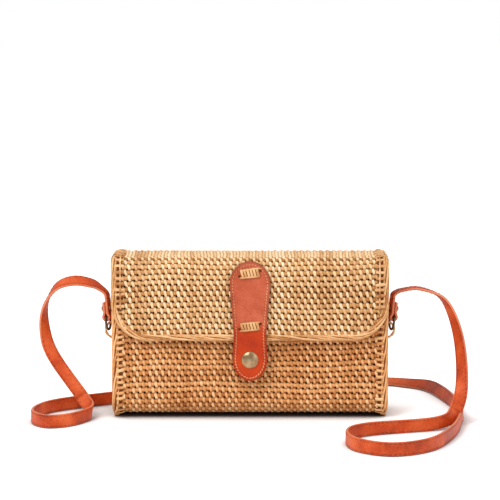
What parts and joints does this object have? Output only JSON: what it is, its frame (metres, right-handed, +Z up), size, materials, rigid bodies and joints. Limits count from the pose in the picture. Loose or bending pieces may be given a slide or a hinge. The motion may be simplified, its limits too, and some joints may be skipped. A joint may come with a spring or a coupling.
{
  "type": "woven box bag",
  "caption": "Woven rattan box bag with a hinged front flap, a leather closure tab with a press stud, and a leather shoulder strap on wire rings.",
  "frame": {"origin": "middle of the bag's footprint on the ground, without the strap", "axes": "+X along the bag's width, the front and its flap face -Y, +Z up"},
  "size_m": [0.3297, 0.287, 0.1245],
  "materials": {
    "weave": "woven straw, satin",
    "cane": "smooth cane, satin",
    "cotton": "plain cotton, matt",
    "leather": "smooth leather, stitched",
    "brass": "antique, satin",
    "iron": "dark wire, satin"
  },
  "bodies": {
    "basket": {"woven_body": "weave", "end_panel_left": "weave", "end_panel_right": "weave", "edge_cane_left": "cane", "edge_cane_right": "cane", "mouth_rim": "cane", "lining": "cotton", "snap_stud": "brass", "snap_backing": "brass", "ring_loop_left": "cane", "ring_loop_right": "cane", "strap": "leather"},
    "flap": {"flap": "weave", "flap_rim": "cane", "flap_lining": "cotton", "closure_tab": "leather", "upper_lashing": "cane", "lower_lashing": "cane", "snap_cap": "brass", "snap_socket": "brass"},
    "left_ring": {"ring_left": "iron", "strap_end_left": "leather", "strap_rivet_left": "brass"},
    "right_ring": {"ring_right": "iron", "strap_end_right": "leather", "strap_rivet_right": "brass"}
  },
  "joints": [
    {"name": "flap_hinge", "type": "hinge", "parent": "basket", "child": "flap", "pos_m": [0, 0.02093, 0.1245], "axis": [-1, 0, 0], "range_deg": [0, 115]},
    {"name": "left_ring_swing", "type": "hinge", "parent": "basket", "child": "left_ring", "pos_m": [-0.1087, 0.00493, 0.0645], "axis": [-0.2079, -0.9781, 0], "range_deg": [0, 60], "deforming": ["strap"]},
    {"name": "right_ring_swing", "type": "hinge", "parent": "basket", "child": "right_ring", "pos_m": [0.1087, 0.00493, 0.0645], "axis": [-0.2079, 0.9781, 0], "range_deg": [0, 60], "deforming": ["strap"]}
  ]
}
